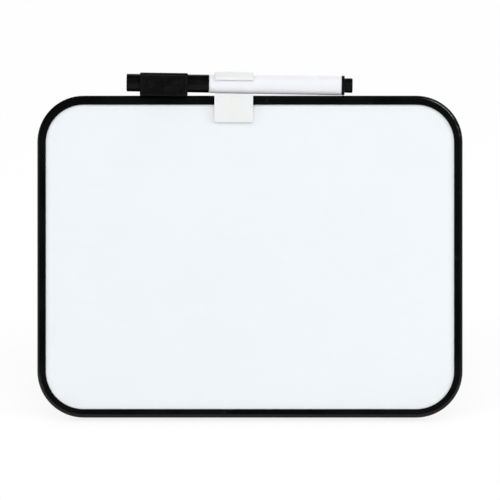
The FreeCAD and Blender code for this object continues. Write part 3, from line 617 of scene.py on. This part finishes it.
def new_piece(name, mesh, place, body, slot, material, *stands_for):
    """A finished mesh as a piece that rides on a body and stands for CAD nodes."""
    mesh.materials.append(material)
    piece = bpy.data.objects.new(name, mesh)
    bpy.context.scene.collection.objects.link(piece)
    piece.matrix_world = place
    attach(piece, body)
    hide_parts(*stands_for)
    return piece


def smooth_mesh(name, shape):
    """The mesh of a finished shape, shaded smooth."""
    mesh = bpy.data.meshes.new(name)
    shape.to_mesh(mesh)
    shape.free()
    mesh.shade_smooth()
    return mesh


def block_grid(shape, half, counts):
    """A block's six gridded faces, joined along its edges."""
    square = ((0, 0), (1, 0), (1, 1), (0, 1))
    spots = {}

    def spot(*steps):
        """The vertex at a place in the block's grid, made once."""
        if steps not in spots:
            spots[steps] = shape.verts.new([
                (2 * step / count - 1) * reach for step, count, reach in zip(steps, counts, half)])
        return spots[steps]

    for axis in range(3):
        one, two = [other for other in range(3) if other != axis]
        for side in (0, counts[axis]):
            for row, column in product(range(counts[one]), range(counts[two])):
                loop = []
                for down, along in square:
                    steps = [0, 0, 0]
                    steps[axis], steps[one], steps[two] = side, row + down, column + along
                    loop.append(spot(*steps))
                shape.faces.new(loop)
    bmesh.ops.recalc_face_normals(shape, faces=shape.faces)


def rounded(point, half, edge):
    """A point of a box's surface drawn onto the same box with round edges."""
    core = Vector([
        max(-(reach - edge), min(reach - edge, place)) for place, reach in zip(point, half)])
    beyond = point - core
    if beyond.length < NONE:
        return point
    return core + beyond.normalized() * edge


def worn_in(point, half, sizes):
    """A point of a block moved to where it lies on the felt: worn edges, a crown, drawn-in sides."""
    steepness = 6
    point = rounded(point, half, sizes.edge)
    shares = [abs(place) / reach for place, reach in zip(point, half)]
    level = max(0.0, point.z / half.z)
    swell = sizes.crown * (1 - shares[0] ** 2) * (1 - shares[1] ** 2)
    draw = sizes.waist * (1 - (2 * level - 1) ** 2) if level > 0 else 0
    for flat in (0, 1):
        point[flat] -= math.copysign(draw * shares[flat] ** steepness, point[flat])
    point.z += (swell - sizes.crown) * level
    return point


def felt_mesh(sizes, half):
    """A block of felt: round worn edges, a slight crown, drawn-in sides and a napped face."""
    falloff, lacunarity, octaves = 0.7, 2.1, 3
    stray_share, stray_size = 0.5, 3
    shape = bmesh.new()
    block_grid(shape, half, [max(2, round(2 * reach / sizes.pitch)) for reach in half])
    for corner in shape.verts:
        corner.co = worn_in(corner.co, half, sizes)
    shape.normal_update()
    moves = []
    for corner in shape.verts:
        level = max(0.0, corner.co.z / half.z)
        wool = noise.fractal(corner.co / sizes.tuft, falloff, lacunarity, octaves)
        stray = noise.noise(corner.co / (sizes.tuft * stray_size))
        moves.append(corner.normal * -abs(wool + stray_share * stray) * sizes.nap * level)
    for corner, move in zip(shape.verts, moves):
        corner.co += move
    return smooth_mesh("eraser_felt", shape)


def nib_profile(sizes, length, radius):
    """Places along the nib from its tip, each with its radius: a dome, a shaft and a flat tail."""
    dome_steps = 9
    shaft_pitch = 1.2 * MM
    shaft = length - sizes.tip
    rings = [(0.0, 0.0)]
    for step in range(dome_steps + 1):
        turn = step / dome_steps * math.pi / 2
        rings.append((
            sizes.tip * (1 - math.cos(turn)),
            sizes.flat + (radius - sizes.flat) * math.sin(turn)))
    count = round(shaft / shaft_pitch)
    rings += [(sizes.tip + shaft * step / count, radius) for step in range(1, count + 1)]
    rings.append((length, 0.0))
    return rings


def nib_ring(shape, sizes, along, reach):
    """One ring of the nib's vertices, grooved between its bundles of fibre, or a point on the axis."""
    groove_share, wear_share = 0.7, 0.3
    if reach == 0:
        return [shape.verts.new((along, 0, 0))]
    ring = []
    for side in range(sizes.sides):
        turn = 2 * math.pi * side / sizes.sides
        groove = 0.5 - 0.5 * math.cos(turn * sizes.ridges)
        wear = abs(noise.noise(Vector((along, reach * math.cos(turn), reach * math.sin(turn))) / MM))
        depth = sizes.relief * (groove_share * groove + wear_share * wear)
        here = reach - depth * min(1, along / sizes.tip)
        ring.append(shape.verts.new((along, here * math.cos(turn), here * math.sin(turn))))
    return ring


def nib_mesh(sizes, length, radius):
    """A bullet nib along X with its tip at 0."""
    sharp = math.radians(50)
    shape = bmesh.new()
    rings = [
        nib_ring(shape, sizes, along, reach) for along, reach in nib_profile(sizes, length, radius)]
    for near, far in zip(rings, rings[1:]):
        for side in range(sizes.sides):
            after = (side + 1) % sizes.sides
            if len(near) == 1:
                shape.faces.new((near[0], far[after], far[side]))
            elif len(far) == 1:
                shape.faces.new((near[side], near[after], far[0]))
            else:
                shape.faces.new((near[side], near[after], far[after], far[side]))
    bmesh.ops.recalc_face_normals(shape, faces=shape.faces)
    mesh = smooth_mesh("nib_bullet", shape)
    mesh.set_sharp_from_angle(angle=sharp)
    return mesh


class WHITEBOARD_OT_rim(bpy.types.Operator):
    """Finish the moulded rim"""

    bl_idname = "whiteboard.rim"
    bl_label = "Rim"

    def execute(self, context):
        dress(gloss_moulding(), "frame_rim")
        return {"FINISHED"}


class WHITEBOARD_OT_sheet(bpy.types.Operator):
    """Finish the coated steel sheet"""

    bl_idname = "whiteboard.sheet"
    bl_label = "Writing sheet"

    def execute(self, context):
        dress(dry_wipe_coating(), "writing_sheet")
        return {"FINISHED"}


class WHITEBOARD_OT_core(bpy.types.Operator):
    """Finish the fibre core"""

    bl_idname = "whiteboard.core"
    bl_label = "Core board"

    def execute(self, context):
        dress(pressed_fibre(), "core_board")
        return {"FINISHED"}


class WHITEBOARD_OT_back(bpy.types.Operator):
    """Finish the moulded back"""

    bl_idname = "whiteboard.back"
    bl_label = "Rear panel"

    def execute(self, context):
        dress(textured_moulding("panel_textured_black", finishes().panel), "rear_panel")
        return {"FINISHED"}


class WHITEBOARD_OT_hinge(bpy.types.Operator):
    """Finish the hinge bracket, its pin, ring and screws"""

    bl_idname = "whiteboard.hinge"
    bl_label = "Hinge"

    def execute(self, context):
        bracket = textured_moulding("bracket_satin_black", finishes().leg, pit=0.4, depth=0.02)
        dress(bracket, "hinge_bracket")
        dress(drawn_steel("pin_bright_steel", lengthwise=True), "hinge_pin")
        dress(drawn_steel("ring_bright_steel", lengthwise=False), "pin_ring")
        dress(zinc_plating(), "bracket_screws")
        return {"FINISHED"}


class WHITEBOARD_OT_leg(bpy.types.Operator):
    """Finish the fold-out leg"""

    bl_idname = "whiteboard.leg"
    bl_label = "Leg"

    def execute(self, context):
        leg = textured_moulding("leg_satin_black", finishes().leg, pit=0.45, depth=0.022)
        dress(leg, "easel_leg")
        return {"FINISHED"}


class WHITEBOARD_OT_rubber(bpy.types.Operator):
    """Finish the rubber feet and the leg's shoe"""

    bl_idname = "whiteboard.rubber"
    bl_label = "Feet and shoe"

    def execute(self, context):
        dress(dull_rubber(), "rubber_foot_left", "rubber_foot_right", "leg_shoe")
        return {"FINISHED"}


class WHITEBOARD_OT_clip(bpy.types.Operator):
    """Finish the marker's clip"""

    bl_idname = "whiteboard.clip"
    bl_label = "Clip"

    def execute(self, context):
        dress(satin_white_moulding(), "marker_clip")
        return {"FINISHED"}


class WHITEBOARD_OT_barrel(bpy.types.Operator):
    """Finish the marker's tube and its end plug"""

    bl_idname = "whiteboard.barrel"
    bl_label = "Barrel and plug"

    def execute(self, context):
        dress(glossy_white_tube(), "marker_barrel")
        dress(satin_black_moulding("plug_satin_black", 0.30), "end_plug")
        return {"FINISHED"}


class WHITEBOARD_OT_nib(bpy.types.Operator):
    """Make the fibre nib and finish its holder and the reservoir"""

    bl_idname = "whiteboard.nib"
    bl_label = "Nib, holder and reservoir"

    def execute(self, context):
        sizes = context.scene.easel_nib
        spots = [corner.co for corner in nodes["marker_nib"].data.vertices]
        start = Vector(joints["cap_pull"]["pos_m"])
        along = [(spot - start).dot(-marker_left) for spot in spots]
        reach = max((spot - start).cross(marker_left).length for spot in spots)
        if not reach:
            raise RuntimeError("the marker's nib has no thickness")
        front = start - marker_left * min(along)
        turned = (-marker_left).to_track_quat("X", "Z").to_matrix().to_4x4()
        mesh = nib_mesh(sizes, max(along) - min(along), reach)
        new_piece(
            "nib_bullet", mesh, Matrix.Translation(front) @ turned, "marker", "nib_fibre",
            inked_fibre("nib_inked_fibre", drawn_out=8), "marker_nib")
        dress(satin_black_moulding("holder_satin_black", 0.38), "nib_holder")
        dress(inked_fibre("reservoir_inked_fibre", drawn_out=40), "ink_reservoir")
        return {"FINISHED"}


class WHITEBOARD_OT_cap(bpy.types.Operator):
    """Finish the cap and its seal"""

    bl_idname = "whiteboard.cap"
    bl_label = "Cap and seal"

    def execute(self, context):
        dress(satin_black_moulding("cap_satin_black", 0.33), "marker_cap")
        dress(soft_seal(), "cap_seal")
        return {"FINISHED"}


class WHITEBOARD_OT_eraser(bpy.types.Operator):
    """Finish the eraser's tray and make its felt"""

    bl_idname = "whiteboard.eraser"
    bl_label = "Eraser"

    def execute(self, context):
        tray = textured_moulding(
            "tray_matt_black", finishes().tray, pit=0.35, depth=0.012, rough=(0.45, 0.55), gleam=0.12)
        dress(tray, "eraser_holder")
        mesh = felt_mesh(context.scene.easel_felt, felt_seat.sizes / 2)
        felt = new_piece(
            "eraser_felt", mesh, felt_seat.matrix(), "cap", "felt_black", pressed_felt(), "eraser_pad")
        return {"FINISHED"}


def lamp(name, power, place, target, wide, tall, roll=0.0, matt=True, gloss=False):
    """A softbox that faces the target, rolled in its plane, and lights matt surfaces, gloss or both."""
    light = bpy.data.lights.new(name, "AREA")
    light.shape = "RECTANGLE"
    light.size = wide
    light.size_y = tall
    light.energy = power
    holder = bpy.data.objects.new(name, light)
    bpy.context.scene.collection.objects.link(holder)
    holder.location = place
    holder.rotation_mode = "QUATERNION"
    facing = (target - place).to_track_quat("-Z", "Y")
    holder.rotation_quaternion = facing @ Quaternion((0, 0, 1), roll)
    holder.visible_camera = False
    holder.visible_diffuse = matt
    holder.visible_glossy = gloss


def floor_material(settings):
    """Pale in the light that it gives, and seen as its own shade that fades into the backdrop."""
    pale = bpy.data.materials.new("floor_pale")
    pale.use_nodes = True
    pale.node_tree.nodes.remove(pale.node_tree.nodes["Principled BSDF"])
    tree = ShaderTree(pale.node_tree)
    glow = settings.background - FLOOR_LIGHT * settings.floor_shade
    fade_start = settings.floor_fade / 3
    giving = tree.add("ShaderNodeBsdfDiffuse", Color=grey(FLOOR_COLOUR))
    shaded = tree.add("ShaderNodeBsdfDiffuse", Color=grey(settings.floor_shade))
    glowing = tree.add("ShaderNodeEmission", Strength=glow)
    near = tree.add("ShaderNodeAddShader")
    tree.feed(near.inputs[0], shaded.outputs["BSDF"])
    tree.feed(near.inputs[1], glowing.outputs["Emission"])
    beyond = tree.add("ShaderNodeEmission", Strength=settings.background)
    spot = tree.add("ShaderNodeTexCoord")
    away = tree.add("ShaderNodeVectorMath", {"operation": "LENGTH"})
    tree.feed(away.inputs[0], spot.outputs["Object"])
    fade = tree.eased(away.outputs["Value"], (fade_start, settings.floor_fade))
    seen = tree.shader_mix(fade, near.outputs["Shader"], beyond.outputs["Emission"])
    shown = tree.shader_mix(tree.seen_by("Is Transmission Ray"), giving.outputs["BSDF"], seen)
    tree.feed(pale.node_tree.nodes["Material Output"].inputs["Surface"], shown)
    return pale


class WHITEBOARD_OT_studio(bpy.types.Operator):
    """Set the camera, the lamps, the sky and the floor"""

    bl_idname = "whiteboard.studio"
    bl_label = "Studio"

    def execute(self, context):
        settings = context.scene.easel_studio
        self.camera(context, settings)
        self.lamps(settings)
        self.sky(context, settings)
        self.floor(settings)
        return {"FINISHED"}

    def camera(self, context, settings):
        """Square on to the board, so that the photograph's frame fits its width."""
        per_pixel = board.sizes.x / (PHOTO_BOARD_RIGHT - PHOTO_BOARD_LEFT)
        half = PHOTO_WIDE / 2
        # The rim's outline is where its front rounding starts, a quarter of its depth off its middle
        outline = board.sizes.z / 4
        target = board.point(
            (half - PHOTO_BOARD_MIDDLE_X) * per_pixel,
            (PHOTO_BOARD_MIDDLE_Y - half) * per_pixel,
            outline)
        lens = bpy.data.cameras.new("view")
        lens.lens = lens.sensor_width * settings.distance / (PHOTO_WIDE * per_pixel)
        lens.clip_end = LENS_REACH
        holder = bpy.data.objects.new("view", lens)
        context.scene.collection.objects.link(holder)
        holder.location = target + board.out * settings.distance
        holder.rotation_mode = "QUATERNION"
        holder.rotation_quaternion = (-board.out).to_track_quat("-Z", "Y")
        context.scene.camera = holder

    def lamps(self, settings):
        """A strip that edges the rim's gloss, and softboxes that light the rest."""
        middle = board.point()
        corner = board.point(board.sizes.x / 2, board.sizes.y / 2)
        front = Vector((0, -0.30, 0))
        lamp(
            "strip", settings.strip_power, board.point(across=0.62, up=0.70, out=1.04), corner,
            wide=0.48, tall=0.06, roll=math.radians(-43), matt=False, gloss=True)
        lamp(
            "softbox_left", settings.left_power, board.point(across=-1.6, up=0.45, out=0.85), middle,
            wide=0.30, tall=0.60)
        lamp(
            "softbox_right", settings.right_power, board.point(across=1.7, up=0.45, out=0.72), middle,
            wide=0.30, tall=0.60)
        lamp(
            "softbox_top", settings.top_power, Vector((0, -0.55, 1.15)), front,
            wide=0.90, tall=0.50)
        lamp(
            "softbox_front", settings.front_power, Vector((0, -0.70, 0.04)), middle,
            wide=1.20, tall=0.06)
        lamp(
            "softbox_back", settings.back_power, Vector((0.35, 1.40, 0.80)), middle,
            wide=1.40, tall=0.90, gloss=True)

    def sky(self, context, settings):
        """Plain backdrop where it is seen, dim overhead in gloss, and a soft fill elsewhere."""
        world = bpy.data.worlds.new("studio")
        world.use_nodes = True
        tree = ShaderTree(world.node_tree)
        spot = tree.add("ShaderNodeTexCoord")
        apart = tree.add("ShaderNodeSeparateXYZ", Vector=spot.outputs["Generated"])
        height = apart.outputs["Z"]
        soft = tree.eased(height, (0, 1), onto=(settings.fill, settings.overhead), how="LINEAR")
        fill = tree.add("ShaderNodeBackground", Color=soft)
        heights = (math.sin(BACKDROP_RISE), math.sin(DIM_SKY_RISE))
        glossy = tree.eased(height, heights, onto=(1.0, DIM_SKY))
        seen = world.node_tree.nodes["Background"]
        tree.feed(seen.inputs["Color"], tree.maths("MAXIMUM", glossy, tree.seen_by()))
        tree.feed(seen.inputs["Strength"], settings.background)
        shown = tree.shader_mix(
            tree.seen_by("Is Glossy Ray", "Is Transmission Ray"),
            fill.outputs["Background"], seen.outputs["Background"])
        tree.feed(world.node_tree.nodes["World Output"].inputs["Surface"], shown)
        context.scene.world = world

    def floor(self, settings):
        """A pale sheet under the easel that keeps the shadow and turns into backdrop further off."""
        half = settings.floor_wide / 2
        corners = [(-half, -half, 0), (half, -half, 0), (half, half, 0), (-half, half, 0)]
        mesh = bpy.data.meshes.new("floor")
        mesh.from_pydata(corners, [], [(0, 1, 2, 3)])
        mesh.materials.append(floor_material(settings))
        sheet = bpy.data.objects.new("floor", mesh)
        bpy.context.scene.collection.objects.link(sheet)


OPERATORS = (
    WHITEBOARD_OT_rim,
    WHITEBOARD_OT_sheet,
    WHITEBOARD_OT_core,
    WHITEBOARD_OT_back,
    WHITEBOARD_OT_hinge,
    WHITEBOARD_OT_leg,
    WHITEBOARD_OT_rubber,
    WHITEBOARD_OT_clip,
    WHITEBOARD_OT_barrel,
    WHITEBOARD_OT_nib,
    WHITEBOARD_OT_cap,
    WHITEBOARD_OT_eraser,
    WHITEBOARD_OT_studio,
)


class WHITEBOARD_PT_pieces(bpy.types.Panel):
    """The pieces and the studio, each with a button, and their settings"""

    bl_idname = "WHITEBOARD_PT_pieces"
    bl_label = "Desk whiteboard easel"
    bl_space_type = "VIEW_3D"
    bl_region_type = "UI"
    bl_category = "Whiteboard"

    def draw(self, context):
        for operator in OPERATORS:
            self.layout.operator(operator.bl_idname)
        for group in SETTINGS:
            settings = getattr(context.scene, group)
            box = self.layout.box()
            for name in settings.bl_rna.properties.keys():
                if name not in ("rna_type", "name"):
                    box.prop(settings, name)


SETTINGS = {
    "easel_finishes": EaselFinishes,
    "easel_felt": FeltSizes,
    "easel_nib": NibSizes,
    "easel_studio": StudioSettings,
}


def register():
    for name, group in SETTINGS.items():
        bpy.utils.register_class(group)
        setattr(bpy.types.Scene, name, PointerProperty(type=group))
    for operator in OPERATORS:
        bpy.utils.register_class(operator)
    bpy.utils.register_class(WHITEBOARD_PT_pieces)


def unregister():
    bpy.utils.unregister_class(WHITEBOARD_PT_pieces)
    for operator in reversed(OPERATORS):
        bpy.utils.unregister_class(operator)
    for name, group in SETTINGS.items():
        delattr(bpy.types.Scene, name)
        bpy.utils.unregister_class(group)


def main():
    register()
    bpy.context.scene.view_settings.view_transform = "Standard"
    for operator in OPERATORS:
        group, name = operator.bl_idname.split(".")
        getattr(getattr(bpy.ops, group), name)()


if __name__ == "__main__":
    main()
